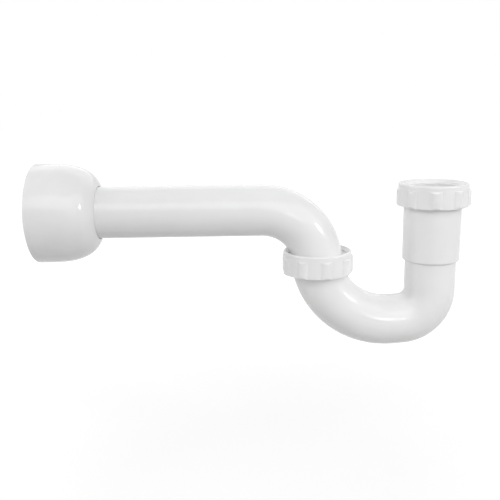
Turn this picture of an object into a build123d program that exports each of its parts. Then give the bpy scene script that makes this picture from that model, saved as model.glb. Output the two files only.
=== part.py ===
"""Slip-joint p-trap in white moulded plastic: inlet socket, J-bend, union, outlet arm and wall flange.

Millimetres. The inlet's axis is the Z axis, with Z = 0 at the top of the socket's straight bore.
The outlet arm runs towards -X, where the wall is. The whole trap lies in the plane Y = 0.
"""

import math
import os

from build123d import *

os.makedirs("parts", exist_ok=True)

# Tube
TUBE_R = 16.0
TUBE_WALL = 2.0
BORE_R = TUBE_R - TUBE_WALL

# Layout: union axis, arm height and wall plane, all from the inlet's mouth
UNION_X = -72.2
ARM_Z = -7.0
WALL_X = -243.7

# Fits
RUN_GAP = 0.1
SLIP_GAP = 0.4
SOCKET_GAP = 0.25
THREAD_GAP = 0.35
WASHER_GAP = 0.6
NUT_HOLE_GAP = 2.4

# Slip washers
WASHER_OUT = 3.3
WASHER_R = TUBE_R + WASHER_OUT
WASHER_H = 3.4
UNION_WASHER_H = 2.0

# Slip nuts, closed end up
NUT_H = 14.0
NUT_TOP = 2.6
NUT_WALL = 1.6
NUT_HOLE_R = TUBE_R + NUT_HOLE_GAP
NUT_BORE_R = WASHER_R + WASHER_GAP
NUT_R = NUT_BORE_R + NUT_WALL
NUT_EDGE = 1.1
NUT_MOUTH_OUT = 1.8
NUT_MOUTH_DROP = 1.9
LUG_COUNT = 9
LUG_PROUD = 1.3
LUG_R = NUT_R + LUG_PROUD
LUG_ROUND = 4.8
LUG_DROP = 3.4
LUG_EDGE = 1.2
LUG_TAPER = 1.2
LUG_TAPER_IN = 0.8
INLET_NUT_TURN = 19.8
UNION_NUT_TURN = 0.5
THREAD_R = NUT_BORE_R - THREAD_GAP

# Inlet socket
SOCKET_BORE_R = TUBE_R + SOCKET_GAP
SOCKET_WALL = 1.6
SOCKET_R = SOCKET_BORE_R + SOCKET_WALL
SOCKET_DEPTH = 38.5
SOCKET_FLOOR = 1.7
SOCKET_END = -SOCKET_DEPTH - SOCKET_FLOOR
SOCKET_EDGE = 1.6
TAPER_OUT = 1.25
TAPER_R = SOCKET_BORE_R + TAPER_OUT
TAPER_H = 2.8
TAPER_LIP = 0.3
INLET_NUT_TOP = TAPER_H + WASHER_H + NUT_TOP
INLET_THREAD_SHORT = 2.0
INLET_THREAD_END = INLET_NUT_TOP - NUT_H + INLET_THREAD_SHORT

# Outlet arm
ARM_BEND_R = 34.7
ARM_END_BACK = 2.0
ARM_FOOT = ARM_Z - ARM_BEND_R
ARM_FLANGE_H = 2.8
SPIGOT_DROP = 0.3
SPIGOT_R = TUBE_R - SPIGOT_DROP
SPIGOT_L = 20.0
SPIGOT_EDGE = 0.6

# Union, from the nut's top down
FOOT_IN = 8.9
UNION_NUT_TOP = ARM_FOOT + FOOT_IN
ARM_FLANGE_TOP = UNION_NUT_TOP - NUT_TOP - RUN_GAP
ARM_FLANGE_END = ARM_FLANGE_TOP - ARM_FLANGE_H
UNION_WASHER_TOP = ARM_FLANGE_END - RUN_GAP
HUB_TOP = UNION_WASHER_TOP - UNION_WASHER_H
HUB_SHORT = 0.9
HUB_END = UNION_NUT_TOP - NUT_H + HUB_SHORT
COUNTERBORE_END = ARM_FOOT - SLIP_GAP

# J-bend
NECK_R = 20.0
NECK_TURN = 16.0
NECK_DROP = 0.9
NECK_Z = HUB_TOP - NECK_DROP
SWEEP_R = 45.2
FLOOR_RISE = 4.0
HEEL_R = 19.6

# Wall flange: along the dome, distance from the rim and height over the tube
FLANGE_WALL = 1.6
FLANGE_FLARE = 14.3
FLANGE_RIM_R = TUBE_R + FLANGE_FLARE
FLANGE_L = 37.2
FLANGE_STRAIGHT = 8.0
FLANGE_DOME = ((15.0, 14.05), (20.7, 13.35), (26.1, 11.8), (31.1, 9.2), (34.6, 5.6))
FLANGE_EDGE = 0.4


def slip_nut(axis_x, top_z, turn):
    """Nut with a coned hole in its closed top, round lugs on its skirt and a bore for the hub."""
    upright = Plane(origin=(axis_x, 0, top_z), x_dir=(1, 0, 0), z_dir=(0, -1, 0))
    axis = Axis((axis_x, 0, 0), (0, 0, 1))
    with BuildPart() as lugs:
        with BuildSketch(Plane(origin=(axis_x, 0, top_z - NUT_H))):
            Circle(LUG_R - LUG_ROUND)
            with PolarLocations(LUG_R - LUG_ROUND, LUG_COUNT, start_angle=turn):
                Circle(LUG_ROUND)
        extrude(amount=NUT_H - LUG_DROP)
        with BuildSketch(upright):
            with BuildLine():
                lug_top = (LUG_R - LUG_EDGE, -LUG_DROP)
                lug_face = (LUG_R, -LUG_DROP - LUG_EDGE)
                RadiusArc(lug_top, lug_face, LUG_EDGE)
                Polyline(
                    lug_face,
                    (LUG_R, -NUT_H + LUG_TAPER),
                    (LUG_R - LUG_TAPER_IN, -NUT_H),
                    (0, -NUT_H),
                    (0, -LUG_DROP),
                    lug_top,
                )
            make_face()
        revolve(axis=axis, mode=Mode.INTERSECT)
    with BuildPart() as nut:
        with BuildSketch(upright):
            with BuildLine():
                Polyline((0, 0), (NUT_R, 0), (NUT_R, -NUT_H), (0, -NUT_H), close=True)
            make_face()
        revolve(axis=axis)
        fillet(nut.edges().group_by(Axis.Z)[-1], NUT_EDGE)
        add(lugs.part)
        with BuildSketch(upright):
            with BuildLine():
                Polyline(
                    (0, 0),
                    (NUT_HOLE_R + NUT_MOUTH_OUT, 0),
                    (NUT_HOLE_R, -NUT_MOUTH_DROP),
                    (NUT_HOLE_R, -NUT_TOP),
                    (NUT_BORE_R, -NUT_TOP),
                    (NUT_BORE_R, -NUT_H),
                    (0, -NUT_H),
                    close=True,
                )
            make_face()
        revolve(axis=axis, mode=Mode.SUBTRACT)
    return nut


# Inlet nut and union nut: one moulding used twice
inlet_nut = slip_nut(0, INLET_NUT_TOP, INLET_NUT_TURN)
inlet_nut.part.label = "inlet_nut"
export_step(inlet_nut.part, "parts/inlet_nut.step")

union_nut = slip_nut(UNION_X, UNION_NUT_TOP, UNION_NUT_TURN)
union_nut.part.label = "union_nut"
export_step(union_nut.part, "parts/union_nut.step")

# Inlet washer: flat rim under the nut, tapered skirt in the socket's mouth
with BuildPart() as inlet_washer:
    with BuildSketch(Plane.XZ):
        with BuildLine():
            Polyline(
                (SOCKET_BORE_R, TAPER_H + WASHER_H),
                (WASHER_R, TAPER_H + WASHER_H),
                (WASHER_R, TAPER_H),
                (TAPER_R, TAPER_H),
                (SOCKET_BORE_R + TAPER_LIP, 0),
                (SOCKET_BORE_R, 0),
                close=True,
            )
        make_face()
    revolve(axis=Axis.Z)
inlet_washer.part.label = "inlet_washer"
export_step(inlet_washer.part, "parts/inlet_washer.step")

# Union washer: flat ring on the hub, round the arm's foot
with BuildPart() as union_washer:
    with BuildSketch(Plane(origin=(UNION_X, 0, HUB_TOP))):
        Circle(WASHER_R)
        Circle(TUBE_R + SLIP_GAP, mode=Mode.SUBTRACT)
    extrude(amount=UNION_WASHER_H)
union_washer.part.label = "union_washer"
export_step(union_washer.part, "parts/union_washer.step")

# Trap bend: hub, wide sweep, tight heel, inlet leg and socket
neck_x = UNION_X + NECK_R
turn = math.radians(NECK_TURN)
rise = math.radians(FLOOR_RISE)
sweep_x = neck_x + (SWEEP_R - NECK_R) * math.cos(turn)
sweep_z = NECK_Z + (SWEEP_R - NECK_R) * math.sin(turn)
floor_start = (sweep_x + SWEEP_R * math.sin(rise), sweep_z - SWEEP_R * math.cos(rise))
floor_end_x = HEEL_R * math.sin(rise) - HEEL_R
floor_end_z = floor_start[1] + (floor_end_x - floor_start[0]) * math.tan(rise)
heel_z = floor_end_z + HEEL_R * math.cos(rise)
with BuildPart() as trap_bend:
    with BuildLine(Plane.XZ) as run:
        Line((UNION_X, HUB_TOP), (UNION_X, NECK_Z))
        CenterArc((neck_x, NECK_Z), NECK_R, 180, NECK_TURN)
        CenterArc((sweep_x, sweep_z), SWEEP_R, 180 + NECK_TURN, 90 - NECK_TURN + FLOOR_RISE)
        Line(floor_start, (floor_end_x, floor_end_z))
        CenterArc((-HEEL_R, heel_z), HEEL_R, 270 + FLOOR_RISE, 90 - FLOOR_RISE)
        Line((0, heel_z), (0, -SOCKET_DEPTH))
    with BuildSketch(Plane(origin=(UNION_X, 0, HUB_TOP), z_dir=(0, 0, -1))):
        Circle(TUBE_R)
    sweep(path=run.wires()[0])
    with BuildSketch(Plane(origin=(UNION_X, 0, HUB_END))):
        Circle(THREAD_R)
    extrude(amount=HUB_TOP - HUB_END)
    with BuildSketch(Plane.XZ):
        with BuildLine():
            Polyline(
                (0, TAPER_H),
                (THREAD_R, TAPER_H),
                (THREAD_R, INLET_THREAD_END),
                (SOCKET_R, INLET_THREAD_END - (THREAD_R - SOCKET_R)),
                (SOCKET_R, SOCKET_END + SOCKET_EDGE),
            )
            RadiusArc((SOCKET_R, SOCKET_END + SOCKET_EDGE), (SOCKET_R - SOCKET_EDGE, SOCKET_END), SOCKET_EDGE)
            Polyline((SOCKET_R - SOCKET_EDGE, SOCKET_END), (0, SOCKET_END), (0, TAPER_H))
        make_face()
    revolve(axis=Axis.Z)
    with BuildSketch(Plane(origin=(UNION_X, 0, HUB_TOP), z_dir=(0, 0, -1))):
        Circle(BORE_R)
    sweep(path=run.wires()[0], mode=Mode.SUBTRACT)
    with BuildSketch(Plane(origin=(UNION_X, 0, COUNTERBORE_END))):
        Circle(TUBE_R + SLIP_GAP)
    extrude(amount=HUB_TOP - COUNTERBORE_END, mode=Mode.SUBTRACT)
    with BuildSketch(Plane.XZ):
        with BuildLine():
            Polyline(
                (0, TAPER_H),
                (TAPER_R, TAPER_H),
                (SOCKET_BORE_R + TAPER_LIP, 0),
                (SOCKET_BORE_R, 0),
                (SOCKET_BORE_R, -SOCKET_DEPTH),
                (0, -SOCKET_DEPTH),
                close=True,
            )
        make_face()
    revolve(axis=Axis.Z, mode=Mode.SUBTRACT)
trap_bend.part.label = "trap_bend"
export_step(trap_bend.part, "parts/trap_bend.step")

# Outlet arm: pipe, quarter bend, flange under the union nut, spigot end at the wall
arm_end_x = WALL_X + ARM_END_BACK
bend_x = UNION_X - ARM_BEND_R
with BuildPart() as outlet_arm:
    with BuildSketch(Plane(origin=(arm_end_x, 0, ARM_Z), z_dir=(1, 0, 0))):
        Circle(SPIGOT_R)
    extrude(amount=SPIGOT_L)
    chamfer(outlet_arm.edges().group_by(Axis.X)[0], SPIGOT_EDGE)
    with BuildSketch(Plane(origin=(arm_end_x + SPIGOT_L, 0, ARM_Z), z_dir=(1, 0, 0))):
        Circle(TUBE_R)
    extrude(amount=bend_x - arm_end_x - SPIGOT_L)
    with BuildSketch(Plane(origin=(bend_x, 0, ARM_Z), z_dir=(1, 0, 0))):
        Circle(TUBE_R)
    revolve(axis=Axis((bend_x, 0, ARM_FOOT), (0, 1, 0)), revolution_arc=90)
    with BuildSketch(Plane(origin=(UNION_X, 0, ARM_FLANGE_END))):
        Circle(WASHER_R)
    extrude(amount=ARM_FLANGE_H)
    with BuildSketch(Plane(origin=(arm_end_x, 0, ARM_Z), z_dir=(1, 0, 0))):
        Circle(BORE_R)
    extrude(amount=bend_x - arm_end_x, mode=Mode.SUBTRACT)
    with BuildSketch(Plane(origin=(bend_x, 0, ARM_Z), z_dir=(1, 0, 0))):
        Circle(BORE_R)
    revolve(axis=Axis((bend_x, 0, ARM_FOOT), (0, 1, 0)), revolution_arc=90, mode=Mode.SUBTRACT)
outlet_arm.part.label = "outlet_arm"
export_step(outlet_arm.part, "parts/outlet_arm.step")

# Wall flange: thin domed bell with a flat rim, loose on the pipe
with BuildPart() as wall_flange:
    with BuildSketch(Plane(origin=(WALL_X, 0, ARM_Z), x_dir=(1, 0, 0), z_dir=(0, -1, 0))):
        with BuildLine():
            Polyline((FLANGE_L, 0), (0, 0), (0, FLANGE_RIM_R), (FLANGE_STRAIGHT, FLANGE_RIM_R))
            Spline(
                (FLANGE_STRAIGHT, FLANGE_RIM_R),
                *((along, TUBE_R + height) for along, height in FLANGE_DOME),
                (FLANGE_L, TUBE_R),
                tangents=((1, 0), (0.3, -1)),
            )
            Line((FLANGE_L, TUBE_R), (FLANGE_L, 0))
        make_face()
    revolve(axis=Axis((WALL_X, 0, ARM_Z), (1, 0, 0)))
    offset(amount=-FLANGE_WALL, openings=wall_flange.faces().sort_by(Axis.X)[0])
    with BuildSketch(Plane(origin=(WALL_X, 0, ARM_Z), z_dir=(1, 0, 0))):
        Circle(TUBE_R + SLIP_GAP)
    extrude(amount=FLANGE_L * 2, mode=Mode.SUBTRACT)
    fillet(wall_flange.edges().group_by(Axis.X)[0].sort_by(SortBy.RADIUS)[-1], FLANGE_EDGE)
wall_flange.part.label = "wall_flange"
export_step(wall_flange.part, "parts/wall_flange.step")
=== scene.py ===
"""Slip-joint p-trap in white moulded plastic, dressed for its studio picture."""

import math

import bpy
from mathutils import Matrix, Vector

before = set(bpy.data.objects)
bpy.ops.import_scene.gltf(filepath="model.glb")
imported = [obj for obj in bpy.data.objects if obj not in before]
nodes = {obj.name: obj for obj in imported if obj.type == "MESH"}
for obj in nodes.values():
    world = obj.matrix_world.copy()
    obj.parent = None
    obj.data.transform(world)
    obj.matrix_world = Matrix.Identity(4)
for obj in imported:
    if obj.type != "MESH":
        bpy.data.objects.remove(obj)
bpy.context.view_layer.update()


# Camera: a product view from slightly above, about 0.4 m away, behind a normal lens.
# The frame is shifted a little, as in a picture that is cropped from a wider one.
camera_data = bpy.data.cameras.new("studio_camera")
camera_data.sensor_fit = "HORIZONTAL"
camera_data.sensor_width = 36
camera_data.lens = 46.22
camera_data.shift_x = -0.05
camera_data.clip_start = 0.01
camera = bpy.data.objects.new("studio_camera", camera_data)
camera.location = (-0.10932, -0.39445, 0.05793)
looks_down, heading, roll = 12.915, -1.513, -0.604
camera.rotation_euler = (math.radians(90 - looks_down), 0, math.radians(heading))
camera.rotation_euler.rotate_axis("Z", math.radians(roll))
bpy.context.scene.collection.objects.link(camera)
bpy.context.scene.camera = camera


# Trap bend: J-shaped water seal, hub and inlet socket in one injection moulding.
# Glossy white polypropylene out of a two-part mould that closes on the trap's middle plane.
def linear(code):
    """Linear colour of an sRGB hex code."""
    parts = [int(code[i:i + 2], 16) / 255 for i in (1, 3, 5)]
    return [c / 12.92 if c <= 0.04045 else ((c + 0.055) / 1.055) ** 2.4 for c in parts] + [1.0]


def add(tree, kind, links=(), **settings):
    """A node with its settings, and links from (socket, input name or number)."""
    node = tree.nodes.new(kind)
    for name, value in settings.items():
        if hasattr(node, name):
            setattr(node, name, value)
        else:
            node.inputs[name.replace("_", " ")].default_value = value
    for socket, name in links:
        tree.links.new(socket, node.inputs[name])
    return node


# Moulded polypropylene: bright, faintly milky white. Its tone and its polish vary a little from
# place to place, and the polished mould leaves a soft ripple that breaks up the highlights.
def moulded_polypropylene(name, milk, milk_mm, clouds_mm, shades, polish_mm, roughness, ripple_mm, ripple):
    """The plastic with its patterns' sizes in mm, its darker and lighter shade and its roughness range."""
    plastic = bpy.data.materials.new(name)
    plastic.use_nodes = True
    tree = plastic.node_tree
    shader = tree.nodes["Principled BSDF"]
    shader.inputs["IOR"].default_value = 1.49
    shader.inputs["Subsurface Weight"].default_value = milk
    shader.inputs["Subsurface Radius"].default_value = (1.0, 1.0, 1.0)
    shader.inputs["Subsurface Scale"].default_value = milk_mm / 1000
    place = add(tree, "ShaderNodeTexCoord").outputs["Object"]
    clouds = add(tree, "ShaderNodeTexNoise", [(place, "Vector")], Scale=1000 / clouds_mm, Detail=3.0)
    tone = add(tree, "ShaderNodeValToRGB", [(clouds.outputs["Fac"], "Fac")])
    for stop, position, shade in zip(tone.color_ramp.elements, (0.35, 0.65), shades):
        stop.position = position
        stop.color = linear(shade)
    tree.links.new(tone.outputs["Color"], shader.inputs["Base Color"])
    polish = add(tree, "ShaderNodeTexNoise", [(place, "Vector")], Scale=1000 / polish_mm, Detail=4.0)
    gloss = add(tree, "ShaderNodeMapRange", [(polish.outputs["Fac"], "Value")], From_Min=0.3, From_Max=0.7)
    gloss.inputs["To Min"].default_value = roughness[0]
    gloss.inputs["To Max"].default_value = roughness[1]
    tree.links.new(gloss.outputs["Result"], shader.inputs["Roughness"])
    waves = add(tree, "ShaderNodeTexNoise", [(place, "Vector")], Scale=1000 / ripple_mm, Detail=2.0)
    peel = add(tree, "ShaderNodeBump", [(waves.outputs["Fac"], "Height")], Strength=ripple, Distance=0.0003)
    tree.links.new(peel.outputs["Normal"], shader.inputs["Normal"])
    return plastic


tube_plastic = moulded_polypropylene(
    "moulded_polypropylene_tube",
    milk=0.06,
    milk_mm=1.2,
    clouds_mm=30,
    shades=("#EDEDED", "#F1F1F1"),
    polish_mm=12,
    roughness=(0.10, 0.15),
    ripple_mm=3.5,
    ripple=0.04,
)

# A hair-thin witness line stands where the mould's two halves meet, on the middle plane.
crest_mm, foot_mm = 0.12, 0.42
tree = tube_plastic.node_tree
shader = tree.nodes["Principled BSDF"]
peel = shader.inputs["Normal"].links[0].from_socket
place = add(tree, "ShaderNodeTexCoord").outputs["Object"]
split = add(tree, "ShaderNodeSeparateXYZ", [(place, "Vector")])
off_plane = add(tree, "ShaderNodeMath", [(split.outputs["Y"], 0)], operation="ABSOLUTE")
witness = add(
    tree,
    "ShaderNodeMapRange",
    [(off_plane.outputs["Value"], "Value")],
    interpolation_type="SMOOTHSTEP",
    From_Min=crest_mm / 1000,
    From_Max=foot_mm / 1000,
    To_Min=1.0,
    To_Max=0.0,
)
seam = add(
    tree,
    "ShaderNodeBump",
    [(witness.outputs["Result"], "Height"), (peel, "Normal")],
    Strength=0.5,
    Distance=0.0002,
)
tree.links.new(seam.outputs["Normal"], shader.inputs["Normal"])
nodes["trap_bend"].material_slots[0].material = tube_plastic


# Outlet arm: straight pipe with a quarter bend, moulded from the same polypropylene.
# Its flange sits under the union nut, and its plain end goes into the wall's socket.
nodes["outlet_arm"].material_slots[0].material = tube_plastic


# Inlet nut and union nut: hand-tight slip nuts with nine round lugs, one moulding used twice.
# Polypropylene unscrewed from the mould, so it has no witness line and a slightly duller polish.
nut_plastic = moulded_polypropylene(
    "moulded_polypropylene_nut",
    milk=0.06,
    milk_mm=1.2,
    clouds_mm=20,
    shades=("#EEEEEE", "#F2F2F2"),
    polish_mm=8,
    roughness=(0.18, 0.26),
    ripple_mm=2.5,
    ripple=0.05,
)
nodes["inlet_nut"].material_slots[0].material = nut_plastic
nodes["union_nut"].material_slots[0].material = nut_plastic


# Inlet washer and union washer: slip-joint rings squeezed between nut, hub and pipe.
# Soft low-density polyethylene in its natural milky colour, matte from the mould.
clouds_mm, grain_mm, milk_mm = 6, 0.8, 2
washer_plastic = bpy.data.materials.new("natural_polyethylene")
washer_plastic.use_nodes = True
tree = washer_plastic.node_tree
shader = tree.nodes["Principled BSDF"]
shader.inputs["IOR"].default_value = 1.51
shader.inputs["Subsurface Weight"].default_value = 0.25
shader.inputs["Subsurface Radius"].default_value = (1.0, 1.0, 1.0)
shader.inputs["Subsurface Scale"].default_value = milk_mm / 1000
place = add(tree, "ShaderNodeTexCoord").outputs["Object"]
clouds = add(tree, "ShaderNodeTexNoise", [(place, "Vector")], Scale=1000 / clouds_mm, Detail=3.0)
tone = add(tree, "ShaderNodeValToRGB", [(clouds.outputs["Fac"], "Fac")])
tone.color_ramp.elements[0].position = 0.35
tone.color_ramp.elements[0].color = linear("#EBEBEB")
tone.color_ramp.elements[1].position = 0.65
tone.color_ramp.elements[1].color = linear("#F2F2F2")
tree.links.new(tone.outputs["Color"], shader.inputs["Base Color"])
grain = add(tree, "ShaderNodeTexNoise", [(place, "Vector")], Scale=1000 / grain_mm, Detail=2.0)
matte = add(tree, "ShaderNodeMapRange", [(grain.outputs["Fac"], "Value")], To_Min=0.42, To_Max=0.55)
tree.links.new(matte.outputs["Result"], shader.inputs["Roughness"])
bloom = add(tree, "ShaderNodeBump", [(grain.outputs["Fac"], "Height")], Strength=0.08, Distance=0.0002)
tree.links.new(bloom.outputs["Normal"], shader.inputs["Normal"])
nodes["inlet_washer"].material_slots[0].material = washer_plastic
nodes["union_washer"].material_slots[0].material = washer_plastic


# Wall flange: thin domed bell that slides along the pipe to cover the hole in the wall.
# Polypropylene from a mould that is polished further than the tubes', so its highlights are sharper.
flange_plastic = moulded_polypropylene(
    "moulded_polypropylene_flange",
    milk=0.05,
    milk_mm=1.0,
    clouds_mm=25,
    shades=("#EDEDED", "#F2F2F2"),
    polish_mm=10,
    roughness=(0.09, 0.13),
    ripple_mm=5,
    ripple=0.03,
)
nodes["wall_flange"].material_slots[0].material = flange_plastic


# Studio floor: a wide sheet of white card below the trap, which hangs as it does under a basin.
# The card is seen as white, and the trap's soft shadow still falls on it.
def seen_itself(tree):
    """1 for a ray that shows the card or the room itself, straight, mirrored or through glass, else 0."""
    rays = add(tree, "ShaderNodeLightPath").outputs
    seen = rays["Is Camera Ray"]
    for name in ("Is Glossy Ray", "Is Transmission Ray"):
        seen = add(tree, "ShaderNodeMath", [(seen, 0), (rays[name], 1)], operation="MAXIMUM").outputs[0]
    return seen


floor_z = -0.20
below_trap = (-0.11, 0.0, floor_z)
bpy.ops.object.select_all(action="DESELECT")
bpy.ops.mesh.primitive_plane_add(size=12, location=(0, 0, floor_z))
floor = bpy.context.object
floor.name = "studio_floor"
bpy.ops.object.transform_apply(location=True, rotation=False, scale=False)

# Matte card: the grey takes the shadow, and the lift brings what the eye sees of it up to white.
# The lift grows outwards, where less of the lamps' light falls.
card = bpy.data.materials.new("white_card")
card.use_nodes = True
tree = card.node_tree
shader = tree.nodes["Principled BSDF"]
shader.inputs["Base Color"].default_value = linear("#B8B8B8")
shader.inputs["Roughness"].default_value = 0.9
shader.inputs["Emission Color"].default_value = linear("#FFFFFF")
place = add(tree, "ShaderNodeTexCoord").outputs["Object"]
reach = add(tree, "ShaderNodeVectorMath", [(place, 0)], operation="DISTANCE")
reach.inputs[1].default_value = below_trap
lift = add(
    tree,
    "ShaderNodeMapRange",
    [(reach.outputs["Value"], "Value")],
    From_Min=0.1,
    From_Max=0.8,
    To_Min=0.54,
    To_Max=0.85,
)
glow = add(
    tree,
    "ShaderNodeMath",
    [(seen_itself(tree), 0), (lift.outputs["Result"], 1)],
    operation="MULTIPLY",
)
tree.links.new(glow.outputs[0], shader.inputs["Emission Strength"])
floor.data.materials.append(card)


# Studio light: soft boxes on all sides, a small bright lamp at the right and a strip in front.
# The strip's narrow beam draws the bright arc on the J-bend. The pale room is seen as white
# behind the trap, and lights it more dimly.
world = bpy.data.worlds.new("pale_room")
bpy.context.scene.world = world
world.use_nodes = True
tree = world.node_tree
tree.nodes.clear()
dim = add(tree, "ShaderNodeBackground", Color=linear("#FFFFFF"), Strength=0.36)
white = add(tree, "ShaderNodeBackground", Color=linear("#FFFFFF"), Strength=1.0)
room = add(
    tree,
    "ShaderNodeMixShader",
    [(seen_itself(tree), 0), (dim.outputs[0], 1), (white.outputs[0], 2)],
)
add(tree, "ShaderNodeOutputWorld", [(room.outputs[0], "Surface")])

# Each lamp stands 1 m from what it aims at: degrees to the right of the front and above level,
# then its width and height in metres, its beam in degrees and its watts.
middle = Vector((-0.11, 0.0, -0.035))
bend_low = Vector((-0.034, 0.0, -0.075))
for name, aim, side, up, width, height, beam, watts in (
    ("right_box", middle, 48, 30, 1.00, 0.80, 180, 2.8),
    ("right_lamp", middle, 60, 20, 0.12, 0.14, 180, 1.3),
    ("left_box", middle, -80, 25, 1.10, 0.90, 180, 4.2),
    ("front_box", middle, -5, 34, 0.80, 0.50, 180, 1.9),
    ("back_box", middle, 172, 40, 1.20, 0.80, 180, 2.1),
    ("front_strip", bend_low, 14, 14.5, 0.24, 0.14, 18, 0.011),
):
    side, up = math.radians(side), math.radians(up)
    towards = Vector((math.sin(side) * math.cos(up), -math.cos(side) * math.cos(up), math.sin(up)))
    lamp_data = bpy.data.lights.new(name, "AREA")
    lamp_data.shape = "RECTANGLE"
    lamp_data.size = width
    lamp_data.size_y = height
    lamp_data.spread = math.radians(beam)
    lamp_data.energy = watts
    lamp = bpy.data.objects.new(name, lamp_data)
    lamp.location = aim + towards
    lamp.rotation_euler = towards.to_track_quat("Z", "Y").to_euler()
    bpy.context.scene.collection.objects.link(lamp)

bpy.context.scene.view_settings.view_transform = "Standard"
